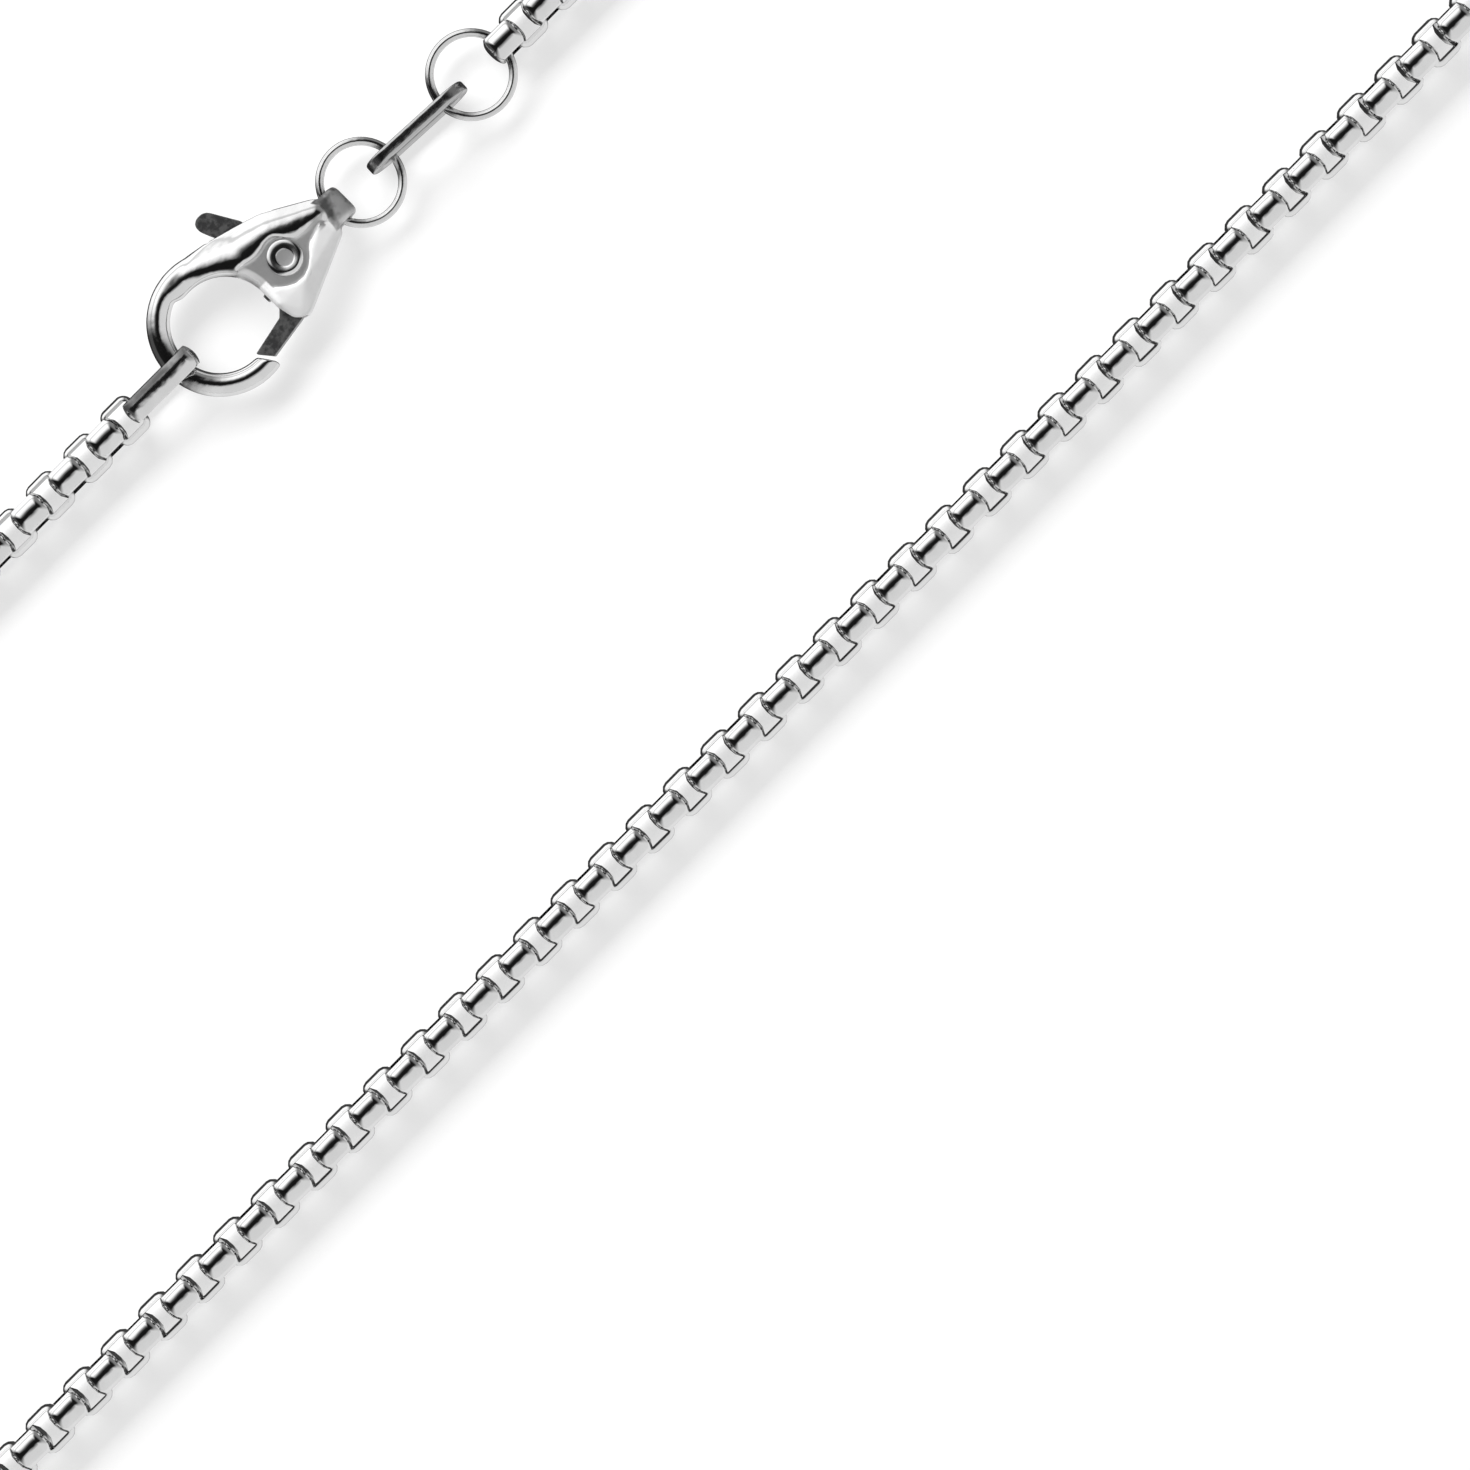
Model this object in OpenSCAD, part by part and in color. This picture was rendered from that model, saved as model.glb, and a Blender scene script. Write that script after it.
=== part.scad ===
// Box chain necklace with a lobster clasp, closed and laid flat as two long strands.
// The origin is the middle of the loop, on the surface that it lies on. X runs along the
// strands, from the hook of the clasp towards its eye, and Y points to the clasp's strand.

/* [Necklace] */
// Length of the closed necklace along its middle line, clasp and rings included
necklace_length = 450; // [400:5:560]
// Distance between the middle lines of the two strands
strand_gap = 29.7; // [27:0.5:36]
// Place of the clasp's rivet along its strand, from the middle of the loop
rivet_x = 1.0; // [-10:0.5:10]

/* [Box chain] */
// Width and height of the chain
chain_w = 2.0; // [1.9:0.05:2.2]
// Length of one chain link, outside
link_len = 1.85; // [1.75:0.05:2.2]
// Width of the half-round band that a link is bent from
link_band = 1.31; // [1.15:0.05:1.35]
// Thickness of a link's side walls
link_side_t = 0.24; // [0.22:0.02:0.3]
// Thickness of a link's end walls, where the next link pulls
link_end_t = 0.28; // [0.25:0.01:0.32]
// Radius of a link's outer corners
link_corner = 0.34; // [0.3:0.02:0.45]
// Rise of the band's rounded outer face over a side wall
link_side_crown = 0.17; // [0.1:0.01:0.19]
// Rise of the band's rounded outer face over an end wall
link_end_crown = 0.13; // [0.08:0.01:0.18]
// Bulge of a link's end walls, seen along its hole
link_bulge = 0.12; // [0.05:0.01:0.16]

/* [Hook link] */
// Length of the long link that the hook holds
hook_link_len = 4.15; // [4:0.1:5.2]
// Height of that link, which stands on its edge
hook_link_h = 2.5; // [2.4:0.05:3]
// Width of its band
hook_link_band = 1.05; // [0.85:0.05:1.2]
// Thickness of its band
hook_link_t = 0.32; // [0.28:0.02:0.38]
// Radius of its outer corners
hook_link_corner = 0.44; // [0.4:0.02:0.46]
// Rise of its band's rounded outer face
hook_link_crown = 0.12; // [0.06:0.01:0.16]

/* [Clasp body] */
// Radius of the round hollow inside the hook
hollow_r = 2.25; // [2:0.05:2.4]
// Thickness of the hook's round wire
hook_wire = 1.08; // [0.9:0.02:1.2]
// Distance from the rivet to the middle of the hollow
hook_reach = 4.15; // [4:0.05:4.6]
// Height of the hollow's middle over the rivet, across the clasp
hook_rise = 0.08; // [0:0.01:0.12]
// Distance from the rivet to the middle of the eye
eye_reach = 3.05; // [2.9:0.05:3.6]
// Height of the eye's middle over the rivet, across the clasp
eye_rise = 0.08; // [0:0.01:0.12]
// Thickness of the body at the rivet
body_t = 2.4; // [2.2:0.05:2.8]
// Depth of the sunk web below each face
web_depth = 0.24; // [0.15:0.01:0.3]
// Outer diameter of the eye's barrel
eye_d = 1.62; // [1.56:0.02:1.8]
// Bore of the eye
eye_bore = 1.04; // [1:0.02:1.14]
// Length of the eye's barrel
eye_len = 1.65; // [1.3:0.05:1.8]

/* [Lever and rivet] */
// Thickness of the lever
lever_t = 0.8; // [0.6:0.05:0.9]
// Gap between the lever and each cheek of its slot
slot_gap = 0.08; // [0.05:0.01:0.12]
// Radius of the lever's round boss
boss_r = 1.0; // [0.8:0.05:1.1]
// Diameter of the rivet's shank
rivet_d = 1.0; // [0.8:0.05:1.1]
// Gap between the shank and each bore, on the radius
rivet_gap = 0.03; // [0.02:0.01:0.05]
// Diameter of the rivet's rolled heads
rivet_head_d = 1.7; // [1.5:0.05:1.8]
// Height of a rivet head above the sunk web
rivet_head_h = 0.22; // [0.15:0.01:0.24]
// Angle that the lever opens through
lever_swing = 26; // [15:1:28]

/* [Rings] */
// Outer diameter of the ring in the eye
eye_ring_d = 4.15; // [3.8:0.05:4.8]
// Outer diameter of the ring in the chain's end link
chain_ring_d = 4.2; // [3.8:0.05:4.8]
// Wire of both rings
ring_wire = 0.4; // [0.35:0.01:0.45]
// Length of the oval link between the rings
oval_len = 5.76; // [5.2:0.05:6.4]
// Height of the oval link, which stands on its edge
oval_h = 2.7; // [2.5:0.05:3]
// Wire of the oval link
oval_wire = 0.58; // [0.5:0.02:0.64]
// Turn of the oval link in plan
oval_turn = -2.7; // [-4:0.1:4]

/* [Play] */
// Gap left between metal that touches under pull
seat_gap = 0.1; // [0.1:0.01:0.16]
// Slack of the oval link in the eye's ring
eye_ring_slack = 0.48; // [0.2:0.02:0.6]
// Slack of the chain's ring in the oval link
chain_ring_slack = 0.56; // [0.2:0.02:0.7]

/* [Hidden] */
$fn = 48;
silver = [0.80, 0.81, 0.83];
bright = [0.88, 0.88, 0.90];
dull = [0.42, 0.42, 0.44];
over = 1;             // how far a cut runs past what it cuts

// Heights of the middle lines
strand_y = strand_gap / 2;
chain_z = chain_w / 2;
clasp_z = body_t / 2;
end_link_z = hook_link_t + seat_gap + link_band / 2;

// How far a circle falls back from its tangent, to each side of the touching point
function sag(r, side) = r - sqrt(r * r - side * side);

// Places along the clasp's strand, to the hook's side
hollow_x = rivet_x - hook_reach;
hook_sag = sag(hollow_r, hook_link_band / 2 + hook_rise);
hook_r = hollow_r + hook_wire / 2;
hook_outer_r = hollow_r + hook_wire;
hook_link_x = hollow_x - hollow_r + hook_sag + seat_gap + hook_link_t - hook_link_len / 2;
end_link_in_x = hook_link_x - hook_link_len / 2 + hook_link_t + seat_gap;
hook_end_x = end_link_in_x + link_end_t - link_len / 2;
chain_start_x = hook_end_x - link_len / 2 - seat_gap;

// Places along the clasp's strand, to the eye's side
eye_x = rivet_x + eye_reach;
eye_ring_r = (eye_ring_d - ring_wire) / 2;
chain_ring_r = (chain_ring_d - ring_wire) / 2;
eye_ring_x = eye_x - sag(eye_ring_r, eye_len / 2) / 2 + eye_ring_r;
oval_start_x = eye_ring_x + eye_ring_r - ring_wire / 2 - eye_ring_slack - oval_wire;
oval_x = oval_start_x + oval_len / 2;
chain_ring_x = oval_start_x + oval_len - oval_wire - chain_ring_slack
             + chain_ring_r - ring_wire / 2;
ring_end_in_x = chain_ring_x + chain_ring_r - ring_wire / 2
              - sag(chain_ring_r - ring_wire / 2, link_band / 2) - seat_gap;
ring_end_x = ring_end_in_x - link_end_t + link_len / 2;
chain_end_x = ring_end_x + link_len / 2 + seat_gap;

// The eye's ring dips from the eye's bore to the foot of the oval link
eye_ring_low_z = oval_wire + seat_gap + ring_wire / 2;
eye_ring_dip = asin((clasp_z - eye_ring_low_z) / (2 * eye_ring_r));

// Route of the chain, as rows of x, y and heading: out from the hook, round the end, back
// along the front strand, round the other end and up to the ring
ring_step = 3 * chain_w;
turn_steps = 12;
half_run = (necklace_length - PI * strand_gap) / 4;
function run(x0, x1, y, heading) =
    let (n = ceil(abs(x1 - x0) / ring_step))
    [for (i = [0:n - 1]) [x0 + (x1 - x0) * i / n, y, heading]];
function turn(x, from) =
    [for (i = [0:turn_steps - 1])
        let (a = from + 180 * i / turn_steps)
        [x + strand_y * cos(a), strand_y * sin(a), a + 90]];
route = concat(
    run(chain_start_x, -half_run, strand_y, 180),
    turn(-half_run, 90),
    run(-half_run, half_run, -strand_y, 360),
    turn(half_run, -90),
    run(half_run, chain_end_x, strand_y, 180),
    [[chain_end_x, strand_y, 180]]);

// A tube swept along the route, with one flat of its eight sides on the surface
tube_sides = 8;
tube_r = chain_w / 2 / cos(180 / tube_sides);
function tube_ring(row) =
    [for (j = [0:tube_sides - 1])
        let (a = (j + 0.5) * 360 / tube_sides, across = tube_r * cos(a))
        [row[0] - across * sin(row[2]), row[1] + across * cos(row[2]), chain_z + tube_r * sin(a)]];

module tube(rows) {
    last = len(rows) - 1;
    points = [for (row = rows) each tube_ring(row)];
    walls = [for (i = [0:last - 1], j = [0:tube_sides - 1])
        let (k = (j + 1) % tube_sides, a = i * tube_sides, b = a + tube_sides)
        each [[a + j, b + j, b + k], [a + j, b + k, a + k]]];
    first_cap = [for (j = [0:tube_sides - 1]) j];
    last_cap = [for (j = [tube_sides - 1:-1:0]) last * tube_sides + j];
    polyhedron(points, concat([first_cap], walls, [last_cap]), convexity = 4);
}

// A link bent from half-round band, with its hole along Z: a rounded frame with bulging
// ends, whose outer faces are crowned across the band
corner_steps = 6;
function arc_points(x, y, r, from, to, steps) =
    [for (i = [0:steps]) let (a = from + (to - from) * i / steps) [x + r * cos(a), y + r * sin(a)]];
function frame_points(l, w, r) = [for (q = [0:3])
    let (sx = (q == 0 || q == 3) ? 1 : -1, sy = q < 2 ? 1 : -1)
    each arc_points(sx * (l / 2 - r), sy * (w / 2 - r), r, 90 * q, 90 * q + 90, corner_steps)];
function crown_points(w, band, rise) =
    let (r = (band * band / 4 + rise * rise) / (2 * rise), open = asin(band / 2 / r))
    concat(arc_points(w / 2 - r, 0, r, -open, open, corner_steps),
           arc_points(r - w / 2, 0, r, 180 - open, 180 + open, corner_steps));

module band_link(l, w, band, side_t, end_t, corner, side_rise, end_rise, bulge) {
    difference() {
        intersection() {
            linear_extrude(band + over, center = true) polygon(frame_points(l, w, corner));
            linear_extrude(band + over, center = true) polygon(crown_points(l, w, bulge));
            rotate([90, 0, 0]) linear_extrude(w + over, center = true)
                polygon(crown_points(l, band, end_rise));
            rotate([90, 0, 90]) linear_extrude(l + over, center = true)
                polygon(crown_points(w, band, side_rise));
        }
        linear_extrude(band + over, center = true)
            polygon(frame_points(l - 2 * end_t, w - 2 * side_t, max(corner - end_t, 0.06)));
    }
}

module chain_link() {
    band_link(link_len, chain_w, link_band, link_side_t, link_end_t, link_corner,
              link_side_crown, link_end_crown, link_bulge);
}

module chain() {
    color(silver) tube(route);
}

module end_link_hook_side() {
    color(silver) translate([hook_end_x, strand_y, end_link_z]) chain_link();
}

module end_link_ring_side() {
    color(silver) translate([ring_end_x, strand_y, chain_z]) rotate([90, 0, 0]) chain_link();
}

module hook_link() {
    color(silver) translate([hook_link_x, strand_y, hook_link_h / 2]) rotate([90, 0, 0])
        band_link(hook_link_len, hook_link_h, hook_link_band, hook_link_t, hook_link_t,
                  hook_link_corner, hook_link_crown, hook_link_crown, link_bulge);
}

// The clasp is drawn about its rivet, with the hollow towards -X and the eye towards +X.
// Two round ridges meet at the eye: the spine, from the hook, and the jaw. A flat web is sunk
// between them. Each knot: place along and across, radius, half thickness. Those of the hook's
// root are placed by angle and distance from the hollow's middle.
function on_hook(a, r, wide, high) = [r * cos(a) - hook_reach, hook_rise + r * sin(a), wide, high];
hook_root = [on_hook(108, 0.97 * hook_r, 0.53 * hook_wire, 0.512 * hook_wire),
             on_hook(84, 0.915 * hook_r, 0.62 * hook_wire, 0.545 * hook_wire),
             on_hook(68, 0.9 * hook_r, 0.8 * hook_wire, 0.635 * hook_wire)];
neck = on_hook(38, 0.985 * hook_r, 0.375 * hook_outer_r, 0.41 * body_t);
shoulder = [-0.29 * hook_reach, 0.385 * hook_outer_r, 0.455 * hook_outer_r, 0.5 * body_t];
back = [0.024 * hook_reach, 0.366 * hook_outer_r, 0.355 * hook_outer_r, 0.5 * body_t];
waist = [0.43 * eye_reach, 0.125 * hook_outer_r, 0.3, 0.46 * body_t];
spine_end = [0.75 * eye_reach, eye_rise + 0.09 * hook_outer_r, 0.245 * hook_outer_r, 0.41 * body_t];
jaw_corner = [-0.253 * hook_reach, -0.553 * hook_outer_r, 0.68, 0.35 * body_t];
jaw_lip = [-0.376 * hook_reach, -0.41 * hook_outer_r, 0.26, 0.42 * body_t];
jaw_end = [0.75 * eye_reach, -0.17 * hook_outer_r, 0.5, 0.33 * body_t];
jaw_crest_start = [-0.31 * hook_reach, -0.225 * hook_outer_r, 0.3, 0.475 * body_t];
jaw_crest_low = [-0.02 * hook_reach, -0.4 * hook_outer_r, 0.3, 0.47 * body_t];
jaw_crest_end = [0.7 * eye_reach, -0.02 * hook_outer_r, 0.3, 0.44 * body_t];
spine = concat(hook_root, [neck, shoulder]);
ridges = concat([for (i = [1:len(spine) - 1]) [spine[i - 1], spine[i]]],
                [[shoulder, back, waist, spine_end],
                 [jaw_corner, jaw_end, jaw_lip, jaw_crest_start, jaw_crest_low, jaw_crest_end]]);
web_t = body_t - 2 * web_depth;
function plan(knot) = [knot[0], knot[1]];

// The sides of a ridge are upright where the slot runs into them, which its thin knots are not
cheek_h = lever_t / 2 + slot_gap + 0.05;
thin_h = 0.7;
module ridge(knots) {
    hull() for (knot = knots) translate(plan(knot)) {
        scale([1, 1, knot[3] / knot[2]]) sphere(r = knot[2], $fn = 40);
        if (knot[3] > thin_h)
            cylinder(r = 0.98 * knot[2], h = 2 * min(cheek_h, knot[3] - 0.31), center = true);
    }
}

// The web's edge follows the spine's crest and the jaw's, and rounds the rivet
web_edge = [[-1.97, 1.14], [-1.8, 1.17], [-1.6, 1.1], [-1.33, 1.03], [-1.1, 0.98], [-0.8, 0.97],
            [-0.52, 1.01], [-0.26, 1.09], [0, 1.12], [0.26, 1.06], [0.46, 0.87], [0.66, 0.6],
            [0.92, 0.33], [1.24, 0.16], [1.7, 0.11], [2.25, 0.1], [2.25, 0.0], [1.89, -0.1],
            [1.31, -0.31], [1.03, -0.52], [0.74, -0.83], [0.45, -1.06], [0, -1.22], [-0.45, -1.18],
            [-0.86, -0.98], [-1.16, -0.72], [-1.4, -0.42], [-2.1, -0.42]];
module web_cut() {
    for (flip = [0, 1]) mirror([0, 0, flip]) translate([0, 0, web_t / 2])
        linear_extrude(body_t) polygon(web_edge);
}

module web() {
    linear_extrude(web_t + 0.04, center = true)
        polygon([[-0.47 * hook_reach, 0.42 * hook_outer_r], plan(shoulder), plan(spine_end),
                 plan(jaw_crest_end), plan(jaw_crest_low), plan(jaw_crest_start),
                 [-0.5 * hook_reach, -0.3 * hook_outer_r]]);
}

// Beside the hook, the hollow is a round of its own and then straight down to the jaw
hollow_middle = [0.05 - hook_reach, -0.2, 0];
hollow_cut_r = hollow_r + 0.01;

// A low lip stands along it, from the spine to the jaw
lip_w = 0.26;
lip_high_a = 30;
lip_drop = 1.17;
lip_section = [for (q = arc_points(0, 0, 1, 0, 345, 23))
    [hollow_cut_r - 0.03 + lip_w + lip_w * q[0], 0.44 * body_t * q[1]]];
module lip() {
    translate(hollow_middle) {
        rotate_extrude(angle = lip_high_a) polygon(lip_section);
        rotate([90, 0, 0]) translate([0, 0, -0.01]) linear_extrude(lip_drop) polygon(lip_section);
    }
}

// The eye's barrel, with rounded ends
eye_round = 0.3;
module barrel() {
    translate([eye_reach, eye_rise, 0]) rotate([90, 0, 0]) rotate_extrude()
        polygon(concat([[0, -eye_len / 2]],
                       arc_points(eye_d / 2 - eye_round, eye_round - eye_len / 2, eye_round, -90, 0, 4),
                       arc_points(eye_d / 2 - eye_round, eye_len / 2 - eye_round, eye_round, 0, 90, 4),
                       [[0, eye_len / 2]]));
}

// The hollow widens to each face, so that its rim is rounded
flare = 0.4;
flare_steps = 6;
function flare_r(z) = flare * (1 - sqrt(1 - pow(z / (body_t / 2 + 0.1), 2)));
module hollow_cut() {
    reach = body_t / 2;
    side = [for (i = [-flare_steps:flare_steps]) let (z = reach * i / flare_steps) [flare_r(z), z]];
    section = concat([[-1, -reach - over], [side[0][0], -reach - over]], side,
                     [[side[2 * flare_steps][0], reach + over], [-1, reach + over]]);
    translate(hollow_middle) {
        rotate_extrude() translate([hollow_cut_r, 0]) polygon(section);
        cylinder(r = hollow_cut_r - 0.5, h = 3 * over, center = true);
        rotate([90, 0, 0]) linear_extrude(lip_drop + 0.02) translate([hollow_cut_r, 0]) polygon(section);
    }
}

// The hook's wire runs from inside the spine round to the tail, whose end is cut on a slant
hook_top_a = 70;
hook_tail_a = 281;
tail_cut_a = -56;
module hook() {
    translate([-hook_reach, hook_rise, 0]) difference() {
        rotate([0, 0, hook_top_a]) rotate_extrude(angle = hook_tail_a - hook_top_a)
            translate([hook_r, 0]) circle(d = hook_wire);
        translate([0.08, -hollow_r - 0.02, 0]) rotate([0, 0, tail_cut_a])
            translate([-over, 0, -hook_wire]) cube([3 * over, 1.2 * over, 2 * hook_wire]);
    }
}

// The slot leaves the way open that the gate and the tab sweep
gate_low_a = 245;
gate_high_a = 156;
tab_left_a = 124.5;
tab_right_a = 91 - lever_swing - 3;
sweep_r = 8;
module slot_cut() {
    slot_h = lever_t + 2 * slot_gap;
    translate([0, 0, -slot_h / 2]) linear_extrude(slot_h) {
        circle(r = boss_r + 0.1);
        for (span = [[gate_high_a, gate_low_a], [tab_right_a, tab_left_a]])
            polygon(concat([[0, 0]], arc_points(0, 0, sweep_r, span[0], span[1], 4)));
    }
}

module clasp_body() {
    color(silver) translate([rivet_x, strand_y, clasp_z]) difference() {
        union() {
            difference() {
                union() {
                    difference() {
                        union() {
                            for (knots = ridges) ridge(knots);
                            web();
                        }
                        web_cut();
                    }
                    barrel();
                }
                hollow_cut();
                slot_cut();
            }
            difference() {
                lip();
                slot_cut();
            }
            hook();
        }
        cylinder(r = rivet_d / 2 + rivet_gap, h = body_t + over, center = true);
        for (flip = [0, 180]) rotate([flip, 0, 0]) translate([0, 0, web_t / 2 + 0.01])
            cylinder(r = rivet_head_d / 2 + rivet_gap, h = body_t);
        translate([eye_reach, eye_rise, 0]) rotate([90, 0, 0])
            cylinder(d = eye_bore, h = eye_len + 3 * over, center = true);
    }
}

// The lever is one flat plate: the gate that shuts the hollow, a small heel that shows at
// the hollow's edge, the boss on the rivet and the thumb tab that stands out of the spine.
// Both outlines are drawn about the rivet, and their roots lie inside the boss.
gate = [[-0.9, 0], [-1.5, -0.4], [-1.93, -0.48], [-1.93, -0.8], [-1.66, -0.9], [-1.72, -1.3],
        [-2.1, -1.68], [-3.98, -2.08], [-3.43, -2.75], [-1.36, -2.43], [-0.45, -0.8]];
tab = [[-0.1, 0.9], [-0.24, 2.62], [-0.96, 3.86], [-1.08, 4.0], [-1.24, 4.09], [-1.44, 4.12],
       [-1.64, 4.09], [-1.8, 3.99], [-1.88, 3.84], [-1.89, 3.66], [-1.84, 3.5], [-1.7, 3.16],
       [-0.52, 0.78]];
module clasp_lever() {
    color(dull) translate([rivet_x, strand_y, clasp_z - lever_t / 2]) linear_extrude(lever_t)
        difference() {
            union() {
                circle(r = boss_r);
                polygon(gate);
                polygon(tab);
            }
            circle(r = rivet_d / 2 + rivet_gap);
        }
}

// Each end of the rivet is rolled over to a round rim about a sunk middle
rivet_roll = 0.2;
rivet_middle_h = 0.07;
module rivet_head() {
    rotate_extrude()
        polygon(concat([[0, 0], [rivet_head_d / 2 - 0.03, 0]],
                       arc_points(rivet_head_d / 2 - rivet_roll, rivet_head_h - rivet_roll, rivet_roll,
                                  0, 165, 10),
                       [[0, rivet_middle_h]]));
}

module clasp_rivet() {
    seat = body_t / 2 - web_depth + 0.02;
    color(bright) translate([rivet_x, strand_y, clasp_z]) {
        cylinder(d = rivet_d, h = 2 * seat + rivet_middle_h, center = true);
        for (flip = [0, 180]) rotate([flip, 0, 0]) translate([0, 0, seat]) rivet_head();
    }
}

module eye_ring() {
    color(bright) translate([eye_ring_x - eye_ring_r, strand_y + eye_rise, clasp_z])
        rotate([0, eye_ring_dip, 0]) translate([eye_ring_r, 0, 0])
        rotate_extrude() translate([eye_ring_r, 0]) circle(d = ring_wire);
}

module chain_ring() {
    color(bright) translate([chain_ring_x, strand_y, chain_z])
        rotate_extrude() translate([chain_ring_r, 0]) circle(d = ring_wire);
}

// A round wire bent to an oval that stands on its edge
module oval_link() {
    bend_r = (oval_h - oval_wire) / 2;
    straight = oval_len - oval_h;
    color(dull) translate([oval_x, strand_y, oval_h / 2]) rotate([0, 0, oval_turn]) rotate([90, 0, 0])
        for (side = [0, 180]) rotate([0, 0, side]) {
            translate([straight / 2, 0, 0]) rotate([0, 0, -90]) rotate_extrude(angle = 180)
                translate([bend_r, 0]) circle(d = oval_wire);
            translate([0, bend_r, 0]) rotate([0, 90, 0])
                cylinder(d = oval_wire, h = straight, center = true);
        }
}

chain();
end_link_hook_side();
end_link_ring_side();
hook_link();
clasp_body();
clasp_lever();
clasp_rivet();
eye_ring();
oval_link();
chain_ring();
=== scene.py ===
"""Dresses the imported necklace: its box links, its polished silver, a pale floor and soft studio light.

Lengths are in millimetres until a mesh is finished, and every finished mesh is in metres.
"""

import math

import bmesh
import bpy
from mathutils import Matrix, Vector


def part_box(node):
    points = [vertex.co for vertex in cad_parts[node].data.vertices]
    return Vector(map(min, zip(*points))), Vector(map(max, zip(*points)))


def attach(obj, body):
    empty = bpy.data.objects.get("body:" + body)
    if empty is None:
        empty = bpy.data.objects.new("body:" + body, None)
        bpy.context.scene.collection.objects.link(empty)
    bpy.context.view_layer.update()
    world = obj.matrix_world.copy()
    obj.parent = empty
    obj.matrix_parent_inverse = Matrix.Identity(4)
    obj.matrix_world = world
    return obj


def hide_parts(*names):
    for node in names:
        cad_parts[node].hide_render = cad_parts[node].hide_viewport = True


MM = 0.001
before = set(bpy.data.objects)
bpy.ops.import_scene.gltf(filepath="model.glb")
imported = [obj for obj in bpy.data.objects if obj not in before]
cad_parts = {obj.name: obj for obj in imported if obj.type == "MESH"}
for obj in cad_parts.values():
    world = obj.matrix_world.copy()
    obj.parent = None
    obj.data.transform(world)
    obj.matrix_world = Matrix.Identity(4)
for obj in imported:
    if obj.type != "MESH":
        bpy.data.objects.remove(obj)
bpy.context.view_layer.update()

# Box chain
CHAIN_W = 2.0
LINK_LEN = 1.82
LINK_BAND = 1.31
LINK_WALL = 0.28
LINK_CORNER = 0.42
SIDE_RISE = 0.25
END_RISE = 0.12
LINK_BULGE = 0.12
LINK_PITCH = 1.1925
LINK_ROLL_PLAY = 0.8
LINK_TURN_PLAY = 0.5

# Front strand: its links' roll in degrees, and how far they are pulled on along the chain
FRONT_ROLL = 4.0
FRONT_PULL = 0.22

# Hook link
HOOK_LINK_BAND = 1.05
HOOK_LINK_WALL = 0.32
HOOK_LINK_CORNER = 0.46
HOOK_LINK_RISE = 0.14
HOOK_LINK_ROLL = 7.0
HOOK_LINK_FALL = 0.1

# Clasp's faces, from the rivet's middle. A pair is where a face's edge starts and ends.
HOLLOW_MIDDLE = (-4.10, -0.20)
LIP_RADIUS = (2.70, 2.80)
LIP_RIGHT = (1.6, 2.1)
LIP_TOP = (1.05, 1.5)
WEB_LEFT = (-1.95, -1.85)
WEB_REACH = 1.32
EYE_TAPER, EYE_TAPER_ALONG = 1.1, (0.2, 1.4)
JAW_TAPER, JAW_TAPER_ALONG = 0.9, (0.5, 1.7)
JAW_TOP = (-0.2, -0.05)
JAW_LEFT = (-2.45, -2.25)
SUNK_FROM, SUNK_TO, SUNK_EDGE = 0.31, 0.17, 0.03
BARREL_D = 1.62
BARREL_LEN = 1.65
BARREL_RISE = 0.08
BARREL_EDGE = 0.06

# Silver's finishes, and the shade painted on it
DULL_ROUGHNESS = 0.40
FROST_ROUGHNESS = 0.5
FROST_WHITE = 0.8
# Nearly black mottle on the eye's barrel, with painted shade towards its corner by the spine
MOTTLE_AND_SHADE_GREY = 0.07
MOTTLE_AND_SHADE_SHARE = 0.8
MOTTLE_AND_SHADE_SPREAD = (0.42, 0.75)
SHADE_CORNER = (-0.4, 1.2)
# Painted shade on the side of the hook link that leans away from the front strand
SHADE_LEAN = (0.06, 0.2)

# Rings and oval link
RING_WIRE = 0.4
OVAL_WIRE = 0.58
OVAL_EDGE = 0.24
OVAL_TURN = -2.7

# Rivet
RIVET_HEAD_H = 0.22
RIVET_CREST_R = 0.64
RIVET_SHANK_R = 0.5
RIVET_SUNK_R = (0.36, 0.42)
RIVET_LEAN = 6.5

# Rivet head's profile: distance from its middle, and how far it stands below the head's top
RIVET_PROFILE = ((0, 0.06), (0.36, 0.06), (0.39, 0.05), (0.42, 0.026), (0.46, 0.017), (0.55, 0.008),
                 (0.64, 0.0), (0.67, 0.005), (0.71, 0.019), (0.75, 0.037), (0.79, 0.065), (0.82, 0.1),
                 (0.84, 0.15), (0.85, 0.19), (0.84, RIVET_HEAD_H), (RIVET_SHANK_R, RIVET_HEAD_H))

# Camera: straight down, with the strands rising to the upper right of the picture
CAMERA_HEIGHT = 311.0
CAMERA_OVER = (0.13, -14.57)
CAMERA_TURN = -45.0
PICTURE_WIDTH = 66.2
SENSOR = 36.0

# Floor and lamp, in metres
FLOOR_REACH = 3
FLOOR_GREYS = (0.40, 0.43)
FLOOR_GLOW = 0.60
LAMP_SIZE = (0.70, 0.21)
LAMP_POWER = 4.2
LAMP_ANGLE = 37.5
LAMP_DISTANCE = 0.5
LAMP_AIM = (0, -0.01, 0)


def span(node):
    """Lowest and highest corners of a CAD node in millimetres."""
    low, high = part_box(node)
    return low / MM, high / MM


def middle(node):
    low, high = span(node)
    return (low + high) / 2


def grey_of(value):
    return (value, value, value, 1)


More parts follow.
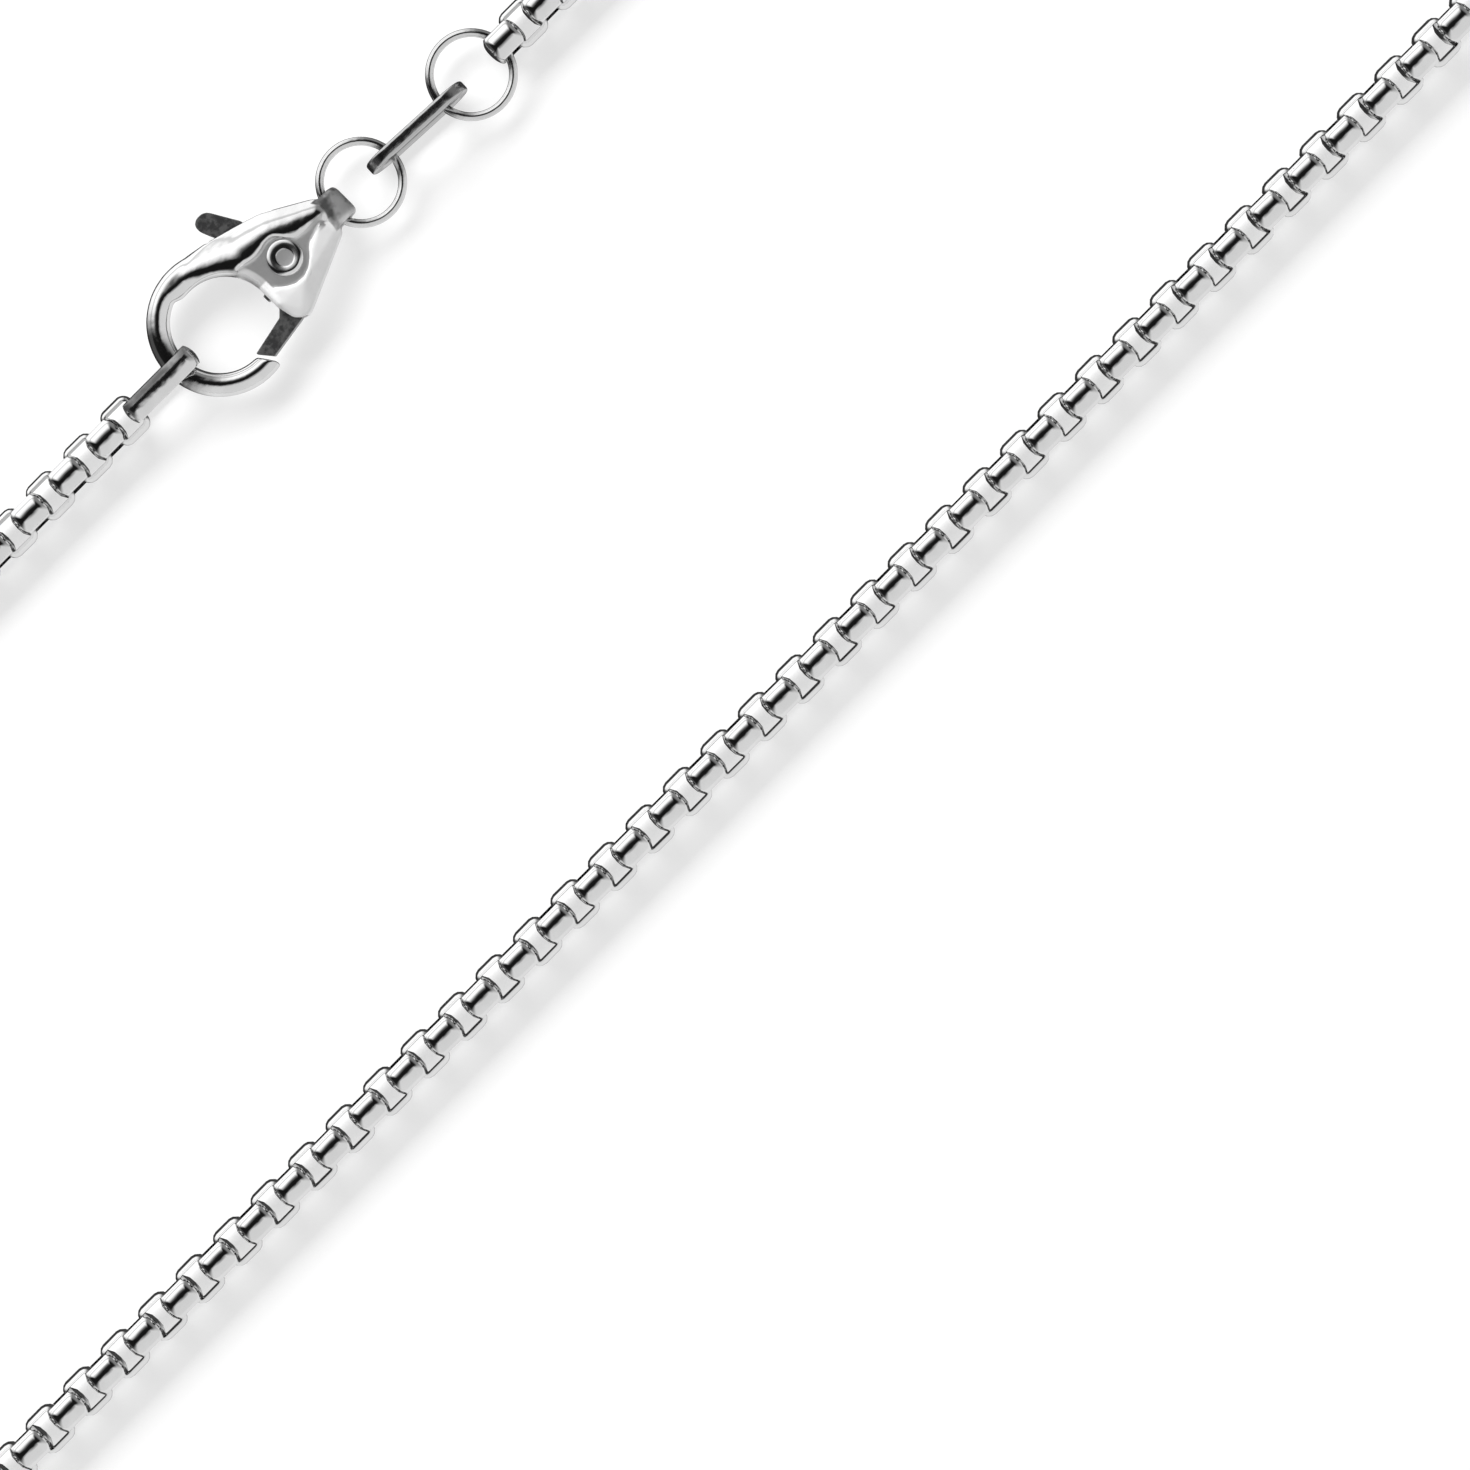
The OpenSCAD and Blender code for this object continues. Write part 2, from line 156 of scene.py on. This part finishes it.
class Number:
    """A value that a shader works out. Python sums on it add Math nodes."""

    def __init__(self, graph, socket):
        self.graph = graph
        self.socket = socket

    def math(self, operation, *others):
        inputs = dict(enumerate((self, *others)))
        return self.graph.add("ShaderNodeMath", {"operation": operation}, inputs)

    def __add__(self, other):
        return self.math("ADD", other)

    def __sub__(self, other):
        return self.math("SUBTRACT", other)

    def __rsub__(self, other):
        return self.graph.add("ShaderNodeMath", {"operation": "SUBTRACT"}, {0: other, 1: self})

    def __mul__(self, other):
        return self.math("MULTIPLY", other)

    def __truediv__(self, other):
        return self.math("DIVIDE", other)

    def __pow__(self, other):
        return self.math("POWER", other)

    __radd__ = __add__
    __rmul__ = __mul__


class Graph:
    """The nodes of one material or world."""

    def __init__(self, owner):
        owner.use_nodes = True
        self.tree = owner.node_tree
        self.tree.nodes.clear()

    def add(self, kind, settings=None, inputs=None, output=0):
        node = self.tree.nodes.new(kind)
        for name, value in (settings or {}).items():
            if name == "stops":
                self.fill(node.color_ramp.elements, value)
            else:
                setattr(node, name, value)
        for name, value in (inputs or {}).items():
            if isinstance(value, Number):
                self.tree.links.new(value.socket, node.inputs[name])
            else:
                node.inputs[name].default_value = value
        return Number(self, node.outputs[output])

    def fill(self, elements, stops):
        """Greys of a ramp, each a place from 0 to 1 and a brightness."""
        while len(elements) < len(stops):
            elements.new(1)
        for element, (place, grey) in zip(elements, stops):
            element.position = place
            element.color = grey_of(grey)

    def ramp(self, value, stops):
        return self.add("ShaderNodeValToRGB", {"stops": stops}, {"Fac": value})

    def parts(self, vector):
        """The three numbers of a vector."""
        split = self.add("ShaderNodeSeparateXYZ", None, {0: vector}).socket.node
        return [Number(self, output) for output in split.outputs]

    def mix(self, share, first, second):
        """Colour between first and second."""
        return self.add("ShaderNodeMix", {"data_type": "RGBA"}, {0: share, 6: first, 7: second}, 2)

    def ease(self, value, low, high):
        """0 below low, 1 above high, and smooth between them."""
        return self.add("ShaderNodeMapRange", {"interpolation_type": "SMOOTHSTEP"},
                        {"Value": value, "From Min": low, "From Max": high})

    def noise(self, coordinates, scale, detail=3.0, roughness=0.55):
        return self.add("ShaderNodeTexNoise", None,
                        {"Vector": coordinates, "Scale": scale, "Detail": detail,
                         "Roughness": roughness})

    def finish(self, kind, shader):
        output = self.tree.nodes.new(kind)
        self.tree.links.new(shader.socket, output.inputs["Surface"])


def place_on_piece(graph):
    """Object coordinates in millimetres."""
    point = graph.add("ShaderNodeTexCoord", output="Object")
    return graph.add("ShaderNodeVectorMath", {"operation": "SCALE"}, {0: point, "Scale": 1 / MM})


def polished_silver(name, shade, gloss, scuffs, ripple, dulled_and_shaded=None, dulled_and_shaded_grey=0.8, frosted=None,
                    mottled_and_shaded=None):
    """Bright metal with slightly uneven faces and fine polishing marks. Three functions, each of the
    graph and the place, may give shares of it: the first is where the polishing wheel didn't reach, and
    on the hook link painted shade on one side, as dark as its grey; the second is matt white; the third
    is nearly black, a mottle with painted shade in the barrel's corner."""
    material = bpy.data.materials.new(name)
    g = Graph(material)
    point = place_on_piece(g)
    cloud = g.noise(point, 0.9)
    stretched = g.add("ShaderNodeMapping", None, {0: point, "Scale": (3.0, 24.0, 9.0)})
    marks = g.noise(stretched, 1.0, 5.0, 0.7)
    grey = g.mix(g.ease(cloud, 0.35, 0.7), grey_of(shade * 0.95), grey_of(shade))
    roughness = gloss + 0.05 * marks * cloud
    if dulled_and_shaded:
        # The dull share also carries the hook link's painted shade, which darkens it as well as
        # roughening it.
        dull_and_shade = dulled_and_shaded(g, point)
        roughness = roughness + dull_and_shade * (DULL_ROUGHNESS + 0.1 * cloud)
        grey = g.mix(dull_and_shade * g.ease(cloud, 0.2, 0.6), grey, grey_of(shade * dulled_and_shaded_grey))
    metal = 1.0
    if frosted:
        frost = frosted(g, point)
        roughness = roughness + FROST_ROUGHNESS * frost
        metal = 1 - FROST_WHITE * frost
    # Nearly black mottle, with painted shade in the barrel's corner by the spine
    if mottled_and_shaded:
        grey = g.mix(mottled_and_shaded(g, point), grey, grey_of(MOTTLE_AND_SHADE_GREY))
    wave = g.add("ShaderNodeBump", None, {"Strength": 1.0, "Distance": ripple * MM,
                                          "Height": g.noise(point, 1.1, 2.0)})
    bump = g.add("ShaderNodeBump", None, {"Strength": scuffs, "Distance": 0.01 * MM, "Height": marks,
                                          "Normal": wave})
    shader = g.add("ShaderNodeBsdfPrincipled", None,
                   {"Base Color": grey, "Metallic": metal, "Normal": bump, "Roughness": roughness})
    g.finish("ShaderNodeOutputMaterial", shader)
    return material


def on_barrel(g, point):
    """1 on the barrel of the clasp's eye."""
    low, high = span("clasp_body")
    x, y, z = g.parts(point)
    out = x - (high.x - BARREL_D / 2)
    off = z - (low.z + high.z) / 2
    from_eye = (out * out + off * off) ** 0.5
    beside = (y - (middle("clasp_rivet").y + BARREL_RISE)).math("ABSOLUTE")
    return ((1 - g.ease(from_eye, BARREL_D / 2 + 0.02, BARREL_D / 2 + 0.1))
            * (1 - g.ease(beside, BARREL_LEN / 2, BARREL_LEN / 2 + BARREL_EDGE)))


def barrel_mottle_and_shade(g, point):
    """Dark mottle on the barrel, with painted shade that makes it thickest in its corner by the spine.
    """
    eye_x = span("clasp_body")[1].x - BARREL_D / 2
    x, y = g.parts(point)[:2]
    # Painted shade: the mottle darkens towards the corner where the barrel meets the spine
    corner = (y - middle("clasp_rivet").y) - (x - eye_x)
    blotch = g.noise(point, 1.7, 2.0) + 0.3 * g.ease(corner, *SHADE_CORNER)
    return MOTTLE_AND_SHADE_SHARE * on_barrel(g, point) * g.ease(blotch, *MOTTLE_AND_SHADE_SPREAD)


def clasp_faces(g, point):
    """The clasp's sunk web, its jaw and the lip along its hollow, each 1 in its place. The web
    narrows towards the eye and towards the jaw's corner."""
    low, high = span("clasp_body")
    rivet = middle("clasp_rivet")
    x, y, z = g.parts(point)
    height = (high.z - low.z) / 2
    off = (z - (low.z + high.z) / 2).math("ABSOLUTE")
    along = x - rivet.x
    across = y - rivet.y

    deep = height - SUNK_FROM
    shallow = height - SUNK_TO
    sunk = g.ease(off, deep - SUNK_EDGE, deep + SUNK_EDGE)
    sunk = sunk * (1 - g.ease(off, shallow - SUNK_EDGE, shallow + SUNK_EDGE))
    jaw_side = 1 - g.ease(across, *JAW_TOP)
    to_eye = EYE_TAPER * g.ease(along, *EYE_TAPER_ALONG)
    to_jaw = JAW_TAPER * jaw_side * g.ease(0 - along, *JAW_TAPER_ALONG)
    past_edge = across.math("ABSOLUTE") - (WEB_REACH - to_eye - to_jaw)
    web = sunk * (1 - g.ease(past_edge, 0, 0.1)) * g.ease(along, *WEB_LEFT)

    out = along - HOLLOW_MIDDLE[0]
    above = (across - HOLLOW_MIDDLE[1]).math("MAXIMUM", 0)
    from_hollow = (out * out + above * above) ** 0.5
    lip = (1 - g.ease(from_hollow, *LIP_RADIUS)) * g.ease(out, *LIP_RIGHT)
    lip = lip * (1 - g.ease(above, *LIP_TOP))
    web = web * (1 - lip)
    jaw = jaw_side * g.ease(along, *JAW_LEFT) * (1 - web)
    return web, jaw, lip


def cast_faces(g, point):
    """1 where the clasp is left as cast: its web and the eye's barrel."""
    web = clasp_faces(g, point)[0]
    return web.math("MAXIMUM", on_barrel(g, point))


def frosted_faces(g, point):
    """1 on the clasp's jaw, and half on its lip."""
    jaw, lip = clasp_faces(g, point)[1:]
    return jaw.math("MAXIMUM", 0.5 * lip) * (1 - on_barrel(g, point))


def painted_shade_side(g, _):
    """1 on the side that leans away from the front strand, wherever on the piece: there the hook link is
    darkened as painted shade.
    """
    lean = g.parts(g.add("ShaderNodeNewGeometry", output="Normal"))[1]
    return g.ease(lean, *SHADE_LEAN)


def rolled_middle(g, point):
    """1 on the sunk middles of the rivet's heads."""
    centre = middle("clasp_rivet")
    x, y = g.parts(point)[:2]
    out = ((x - centre.x) ** 2 + (y - centre.y) ** 2) ** 0.5
    return 1 - g.ease(out, *RIVET_SUNK_R)


def dark_steel(name):
    """The lever's dark satin metal, mottled and a little rubbed."""
    material = bpy.data.materials.new(name)
    g = Graph(material)
    point = place_on_piece(g)
    blotch = g.ease(g.noise(point, 2.8, 5.0, 0.65), 0.40, 0.62)
    grain = g.noise(point, 14.0, 3.0, 0.6)
    up = g.parts(g.add("ShaderNodeNewGeometry", output="Normal"))[2].math("ABSOLUTE")
    face = g.ease(up, 0.55, 0.9)
    grey = g.mix(blotch, (0.042, 0.042, 0.043, 1), grey_of(0.110))
    shade = g.mix(face, grey_of(0.45), grey)
    bump = g.add("ShaderNodeBump", None, {"Strength": 0.5, "Distance": 0.02 * MM, "Height": grain})
    shader = g.add("ShaderNodeBsdfPrincipled", None,
                   {"Base Color": shade, "Metallic": 1 - 0.5 * face, "Normal": bump,
                    "Roughness": 0.22 + face * (0.22 + 0.16 * grain)})
    g.finish("ShaderNodeOutputMaterial", shader)
    return material


def piece_from(bm, name, material, sharp=65.0):
    """Closes a bmesh in millimetres into a finished piece in metres."""
    bmesh.ops.scale(bm, vec=(MM, MM, MM), verts=bm.verts)
    bmesh.ops.recalc_face_normals(bm, faces=bm.faces)
    mesh = bpy.data.meshes.new(name)
    bm.to_mesh(mesh)
    bm.free()
    return piece_of(mesh, name, material, sharp=sharp)


def piece_of(mesh, name, material, body="necklace", sharp=180.0):
    """A piece that rides its body, with edges sharper than this angle left sharp."""
    mesh.materials.clear()
    mesh.materials.append(material)
    mesh.shade_smooth()
    mesh.set_sharp_from_angle(angle=math.radians(sharp))
    piece = bpy.data.objects.new(name, mesh)
    bpy.context.scene.collection.objects.link(piece)
    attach(piece, body)
    return piece


def stands_for(piece, node):
    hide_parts(node)


def run_on(bm, geometry, step):
    """Extrudes a section's edges by one step and returns the new section."""
    edges = [g for g in geometry if isinstance(g, bmesh.types.BMEdge)]
    made = bmesh.ops.extrude_edge_only(bm, edges=edges)["geom"]
    bmesh.ops.translate(bm, vec=step, verts=[g for g in made if isinstance(g, bmesh.types.BMVert)])
    return [g for g in made if not isinstance(g, bmesh.types.BMFace)]


def bend_on(bm, geometry, centre, angle, steps):
    """Spins a section round a corner and returns its last place."""
    return bmesh.ops.spin(bm, geom=geometry, cent=centre, axis=(0, 0, 1), dvec=(0, 0, 0),
                          angle=angle, steps=steps, use_duplicate=False)["geom_last"]


def half_round_section(bm, start, band, wall, rise, arc_steps):
    """The outline of a half-round band that runs along X, with its flat side at the start's height."""
    radius = (band * band / 4 + rise * rise) / (2 * rise)
    half = math.asin(band / 2 / radius)
    crown = start + Vector((0, wall, 0))
    centre = crown - Vector((0, radius, 0))
    rim = bm.verts.new(centre + Matrix.Rotation(half, 3, "X") @ Vector((0, radius, 0)))
    arc = bmesh.ops.spin(bm, geom=[rim], cent=centre, axis=(1, 0, 0), dvec=(0, 0, 0),
                         angle=-2 * half, steps=arc_steps, use_duplicate=False)["geom_last"]
    far = next(g for g in arc if isinstance(g, bmesh.types.BMVert))
    corners = [bm.verts.new(start + Vector((0, 0, side * band / 2))) for side in (-1, 1)]
    bm.edges.new((far, corners[0]))
    bm.edges.new(corners)
    bm.edges.new((corners[1], rim))
    return list(bm.verts) + list(bm.edges)


def band_link(length, width, band, wall, corner, rise, end_rise, bulge, arc_steps, corner_steps,
              end_steps=2):
    """A half-round band bent to a rounded frame, with its hole along Z. Its ends are less crowned
    than its sides, and bulge."""
    bm = bmesh.new()
    side = length - 2 * corner
    end = width - 2 * corner
    start = Vector((-side / 2, width / 2 - wall, 0))
    section = half_round_section(bm, start, band, wall, rise, arc_steps)
    for quarter in range(4):
        turned = Matrix.Rotation(-quarter * math.pi / 2, 3, "Z")
        along, steps = (side, 1) if quarter % 2 == 0 else (end, end_steps)
        for _ in range(steps):
            section = run_on(bm, section, turned @ Vector((along / steps, 0, 0)))
        reach = (side / 2, end / 2) if quarter % 2 == 0 else (end / 2, side / 2)
        section = bend_on(bm, section, turned @ Vector((*reach, 0)), -math.pi / 2, corner_steps)
    bmesh.ops.remove_doubles(bm, verts=bm.verts, dist=0.001)
    for vert in bm.verts:
        x, y, z = vert.co
        past = min(1, max(0, abs(x) - side / 2) / corner)
        fill = (rise - end_rise) * past * (2 * z / band) ** 2
        fall = bulge * (2 * y / width) ** 2 * abs(2 * x / length)
        vert.co.x += (fill - fall) * math.copysign(1, x)
    return bm


def section_place(x, y):
    """Where a wire's section stands, facing along X."""
    return Matrix.Translation((x, y, 0)) @ Matrix.Rotation(math.pi / 2, 4, "Y")


def ring(outer, wire):
    """A closed ring of round wire, flat in X and Y."""
    bm = bmesh.new()
    bmesh.ops.create_circle(bm, segments=20, radius=wire / 2,
                            matrix=section_place(0, (outer - wire) / 2))
    bmesh.ops.spin(bm, geom=bm.verts[:] + bm.edges[:], cent=(0, 0, 0), axis=(0, 0, 1), dvec=(0, 0, 0),
                   angle=2 * math.pi, steps=96, use_merge=True, use_duplicate=False)
    bmesh.ops.remove_doubles(bm, verts=bm.verts, dist=0.001)
    return bm


def oval(length, height, wire):
    """A long link of square wire with rounded edges, flat in X and Y, with round ends."""
    bm = bmesh.new()
    side = length - height
    bmesh.ops.create_grid(bm, x_segments=1, y_segments=1, size=wire / 2,
                          matrix=section_place(-side / 2, (height - wire) / 2))
    bmesh.ops.bevel(bm, geom=bm.verts[:], offset=wire * OVAL_EDGE, affect="VERTICES", segments=4,
                    profile=0.5, material=-1)
    bmesh.ops.delete(bm, geom=bm.faces[:], context="FACES_ONLY")
    section = bm.verts[:] + bm.edges[:]
    for half in (1, -1):
        section = run_on(bm, section, Vector((half * side, 0, 0)))
        section = bend_on(bm, section, Vector((half * side / 2, 0, 0)), -math.pi, 32)
    bmesh.ops.remove_doubles(bm, verts=bm.verts, dist=0.001)
    return bm


def softened(node, voxel, passes):
    """A CAD node's solid with its edges rounded, as casting and polishing leave them. It is rebuilt
    from cubes of the voxel's size and smoothed so many times."""
    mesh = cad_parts[node].data.copy()
    mesh.transform(Matrix.Scale(1 / MM, 4))
    bm = bmesh.new()
    bm.from_mesh(mesh)
    bmesh.ops.remove_doubles(bm, verts=bm.verts, dist=0.0005)
    bm.to_mesh(mesh)
    bm.free()
    blank = bpy.data.objects.new(node + "_blank", mesh)
    bpy.context.scene.collection.objects.link(blank)
    remesh = blank.modifiers.new("remesh", "REMESH")
    remesh.mode = "VOXEL"
    remesh.voxel_size = voxel
    smooth = blank.modifiers.new("smooth", "SMOOTH")
    smooth.factor = 0.5
    smooth.iterations = passes
    ready = blank.evaluated_get(bpy.context.evaluated_depsgraph_get())
    result = bpy.data.meshes.new_from_object(ready)
    result.transform(Matrix.Scale(MM, 4))
    bpy.data.objects.remove(blank)
    return result


# The chain's route: out from the hook, round the end, along the front and back to the ring
chain_high = span("chain")[1]
strand_y = chain_high.y - CHAIN_W / 2
half_run = chain_high.x - CHAIN_W / 2 - strand_y
hook_end = middle("end_link_hook_side")
ring_end = middle("end_link_ring_side")
turn_length = math.pi * strand_y
stretches = [hook_end.x + half_run, turn_length, 2 * half_run, turn_length, half_run - ring_end.x]


def on_route(distance):
    """Place and heading in plan at a distance from the hook's end link."""
    part = 0
    while part < len(stretches) - 1 and distance > stretches[part]:
        distance -= stretches[part]
        part += 1
    if part in (1, 3):
        angle = distance / strand_y + (math.pi / 2 if part == 1 else -math.pi / 2)
        end_x = -half_run if part == 1 else half_run
        return end_x + strand_y * math.cos(angle), strand_y * math.sin(angle), angle + math.pi / 2
    start_x, way, y = {0: (hook_end.x, -1, strand_y), 2: (-half_run, 1, -strand_y),
                       4: (half_run, -1, strand_y)}[part]
    return start_x + way * distance, y, math.pi if way < 0 else 0.0


def link_places():
    """One matrix a link between the two end links. Each link is turned a quarter from its neighbours."""
    length = sum(stretches)
    # An odd number of steps puts the two end links a quarter turn apart
    steps = 2 * round((length / LINK_PITCH - 1) / 2) + 1
    for i in range(1, steps):
        front = math.sin(math.pi * i / steps) ** 2
        x, y, heading = on_route(length * i / steps + FRONT_PULL * front)
        lean = FRONT_ROLL * front + LINK_ROLL_PLAY * math.sin(2.4 * i)
        roll = math.pi / 2 * (i % 2) + math.radians(lean)
        yaw = math.radians(LINK_TURN_PLAY * math.sin(1.7 * i + 1))
        yield (Matrix.Translation((x, y, CHAIN_W / 2)) @ Matrix.Rotation(heading + yaw, 4, "Z")
               @ Matrix.Rotation(roll, 4, "X"))


def chain_link(arc_steps, corner_steps):
    return band_link(LINK_LEN, CHAIN_W, LINK_BAND, LINK_WALL, LINK_CORNER, SIDE_RISE, END_RISE,
                     LINK_BULGE, arc_steps, corner_steps)


def make_chain(material):
    link = bpy.data.meshes.new("link")
    bm = chain_link(arc_steps=4, corner_steps=3)
    bm.to_mesh(link)
    bm.free()
    bm = bmesh.new()
    for place in link_places():
        placed = link.copy()
        placed.transform(place)
        bm.from_mesh(placed)
        bpy.data.meshes.remove(placed)
    stands_for(piece_from(bm, "chain_links", material), "chain")


def make_end_links(material):
    for node, tip in (("end_link_hook_side", 0), ("end_link_ring_side", 90)):
        bm = chain_link(arc_steps=8, corner_steps=8)
        bmesh.ops.transform(bm, matrix=Matrix.Translation(middle(node))
                            @ Matrix.Rotation(math.radians(tip), 4, "X"), verts=bm.verts)
        stands_for(piece_from(bm, node + "_band", material), node)


def make_hook_link(material):
    low, high = span("hook_link")
    size = high - low
    bm = band_link(size.x, size.z - HOOK_LINK_FALL, HOOK_LINK_BAND, HOOK_LINK_WALL, HOOK_LINK_CORNER,
                   HOOK_LINK_RISE, HOOK_LINK_RISE, LINK_BULGE, arc_steps=12, corner_steps=10,
                   end_steps=8)
    bmesh.ops.transform(bm, matrix=Matrix.Translation((low + high) / 2)
                        @ Matrix.Rotation(math.radians(90 + HOOK_LINK_ROLL), 4, "X"), verts=bm.verts)
    stands_for(piece_from(bm, "hook_link_band", material), "hook_link")


def make_rings(material):
    low, high = span("eye_ring")
    outer = high.y - low.y
    dip = math.atan2(high.z - low.z - RING_WIRE, outer - RING_WIRE)
    bm = ring(outer, RING_WIRE)
    bmesh.ops.transform(bm, matrix=Matrix.Translation((low + high) / 2)
                        @ Matrix.Rotation(dip, 4, "Y"), verts=bm.verts)
    stands_for(piece_from(bm, "eye_ring_wire", material, sharp=60), "eye_ring")

    low, high = span("chain_ring")
    bm = ring(high.y - low.y, RING_WIRE)
    bmesh.ops.translate(bm, vec=(low + high) / 2, verts=bm.verts)
    stands_for(piece_from(bm, "chain_ring_wire", material, sharp=60), "chain_ring")


def make_oval_link(material):
    low, high = span("oval_link")
    turn = math.radians(OVAL_TURN)
    length = (high.x - low.x - OVAL_WIRE) / math.cos(turn) + OVAL_WIRE
    bm = oval(length, high.z - low.z, OVAL_WIRE)
    bmesh.ops.transform(bm, matrix=Matrix.Translation((low + high) / 2) @ Matrix.Rotation(turn, 4, "Z")
                        @ Matrix.Rotation(math.pi / 2, 4, "X"), verts=bm.verts)
    stands_for(piece_from(bm, "oval_link_wire", material, sharp=60), "oval_link")


def make_clasp(silver, steel, rivet_silver):
    body = piece_of(softened("clasp_body", voxel=0.045, passes=34), "clasp_body_cast", silver)
    stands_for(body, "clasp_body")
    lever = piece_of(softened("clasp_lever", voxel=0.035, passes=3), "clasp_lever_plate", steel, "lever")
    stands_for(lever, "clasp_lever")

    low, high = span("clasp_rivet")
    centre = (low + high) / 2
    bm = bmesh.new()
    top = high.z - centre.z
    outline = [bm.verts.new((out, 0, top - down)) for out, down in RIVET_PROFILE]
    outline.append(bm.verts.new((RIVET_SHANK_R, 0, 0)))
    edges = [bm.edges.new(pair) for pair in zip(outline, outline[1:])]
    bmesh.ops.spin(bm, geom=outline + edges, cent=(0, 0, 0), axis=(0, 0, 1), dvec=(0, 0, 0),
                   angle=2 * math.pi, steps=48, use_merge=True, use_duplicate=False)
    foot = top - RIVET_HEAD_H
    for vert in bm.verts:
        share = max(0, (vert.co.z - foot) / RIVET_HEAD_H)
        vert.co.z -= share * (vert.co.y + RIVET_CREST_R) * math.tan(math.radians(RIVET_LEAN))
    bmesh.ops.mirror(bm, geom=bm.verts[:] + bm.edges[:] + bm.faces[:], axis="Z", merge_dist=0.001)
    bmesh.ops.remove_doubles(bm, verts=bm.verts, dist=0.001)
    bmesh.ops.translate(bm, vec=centre, verts=bm.verts)
    stands_for(piece_from(bm, "clasp_rivet_rolled", rivet_silver), "clasp_rivet")


def make_floor():
    mesh = bpy.data.meshes.new("floor")
    bm = bmesh.new()
    bmesh.ops.create_grid(bm, x_segments=1, y_segments=1, size=FLOOR_REACH)
    bm.to_mesh(mesh)
    bm.free()
    floor = bpy.data.objects.new("floor", mesh)
    floor.visible_glossy = False
    bpy.context.scene.collection.objects.link(floor)
    material = bpy.data.materials.new("pale_floor")
    g = Graph(material)
    tone = g.mix(g.noise(place_on_piece(g), 0.02, 2.0), *[grey_of(value) for value in FLOOR_GREYS])
    shader = g.add("ShaderNodeBsdfPrincipled", None,
                   {"Base Color": tone, "Roughness": 0.9, "Specular IOR Level": 0.0,
                    "Emission Color": grey_of(1), "Emission Strength": FLOOR_GLOW})
    g.finish("ShaderNodeOutputMaterial", shader)
    mesh.materials.append(material)


def make_light():
    """A studio seen in the metal. Each ramp is what stands on one side, from overhead to
    underfoot: dark round the camera everywhere, then a white screen beyond the clasp, a pale wall
    behind the front strand, a grey one past the clasp's eye and a dark room past its hook."""
    world = bpy.data.worlds.new("studio")
    bpy.context.scene.world = world
    g = Graph(world)
    x, y, z = g.parts(g.add("ShaderNodeTexCoord", output="Generated"))
    # Just over 1, so that it is never 0 straight up
    level = (1.0001 - z * z) ** 0.5
    tilt = z.math("ARCCOSINE") * (1 / math.pi)
    north = y / level
    east = x / level

    def side(*stops):
        return g.ramp(tilt, [(angle / 180, grey) for angle, grey in stops])

    screen = side((0, 0.006), (17, 0.01), (25, 0.15), (35, 0.9), (44, 1.2), (60, 1.25), (66, 0.75),
                  (73, 0.75), (79, 1.2), (118, 1.1), (126, 0.05), (180, 0.03))
    wall = side((0, 0.006), (3, 0.01), (19, 0.68), (81, 0.70), (92, 0.78), (150, 0.76), (165, 0.55),
                (180, 0.40))
    eye_side = side((0, 0.006), (42, 0.01), (60, 0.22), (104, 0.22), (116, 0.06), (180, 0.05))
    room = side((0, 0.006), (62, 0.01), (72, 0.07), (108, 0.07), (118, 0.03), (180, 0.03))
    colour = g.mix(g.ease(east, 0.1, 0.8), room, eye_side)
    colour = g.mix(g.ease(north, 0.6, 0.95), colour, screen)
    colour = g.mix(g.ease(0 - north, 0.05, 0.6), colour, wall)
    g.finish("ShaderNodeOutputWorld", g.add("ShaderNodeBackground", None, {"Color": colour}))

    lamp = bpy.data.lights.new("softbox", "AREA")
    lamp.shape = "RECTANGLE"
    lamp.size, lamp.size_y = LAMP_SIZE
    lamp.energy = LAMP_POWER
    key = bpy.data.objects.new("softbox", lamp)
    key.visible_glossy = False
    bpy.context.scene.collection.objects.link(key)
    angle = math.radians(LAMP_ANGLE)
    key.location = Vector((0, math.cos(angle), math.sin(angle))) * LAMP_DISTANCE
    key.rotation_euler = (Vector(LAMP_AIM) - key.location).to_track_quat("-Z", "Y").to_euler()


def make_camera():
    lens = bpy.data.cameras.new("camera")
    lens.sensor_width = SENSOR
    lens.lens = SENSOR * (CAMERA_HEIGHT - CHAIN_W / 2) / PICTURE_WIDTH
    lens.clip_start, lens.clip_end = 0.01, 10
    camera = bpy.data.objects.new("camera", lens)
    camera.location = Vector((*CAMERA_OVER, CAMERA_HEIGHT)) * MM
    camera.rotation_euler = (0, 0, math.radians(CAMERA_TURN))
    bpy.context.scene.collection.objects.link(camera)
    bpy.context.scene.camera = camera


make_camera()
chain_silver = polished_silver("chain_silver", shade=0.94, gloss=0.06, scuffs=0.05, ripple=0.004)
# The hook link is darkened on its side away from the front strand: painted shade.
hook_link_silver = polished_silver("hook_link_silver", shade=0.90, gloss=0.10, scuffs=0.2, ripple=0.06,
                                   dulled_and_shaded=painted_shade_side, dulled_and_shaded_grey=0.35)
# The barrel's nearly black mottle is thickened by painted shade in its corner by the spine.
clasp_silver = polished_silver("clasp_silver", shade=0.92, gloss=0.07, scuffs=0.10, ripple=0.02,
                               dulled_and_shaded=cast_faces, frosted=frosted_faces, mottled_and_shaded=barrel_mottle_and_shade)
rivet_silver = polished_silver("rivet_silver", shade=0.92, gloss=0.09, scuffs=0.10, ripple=0.01,
                               dulled_and_shaded=rolled_middle)
ring_silver = polished_silver("ring_silver", shade=0.86, gloss=0.10, scuffs=0.2, ripple=0.02)
oval_silver = polished_silver("oval_silver", shade=0.62, gloss=0.15, scuffs=0.4, ripple=0.04)
lever_steel = dark_steel("lever_steel")
make_chain(chain_silver)
make_end_links(chain_silver)
make_hook_link(hook_link_silver)
make_rings(ring_silver)
make_oval_link(oval_silver)
make_clasp(clasp_silver, lever_steel, rivet_silver)
make_floor()
make_light()
bpy.context.scene.view_settings.view_transform = "Standard"
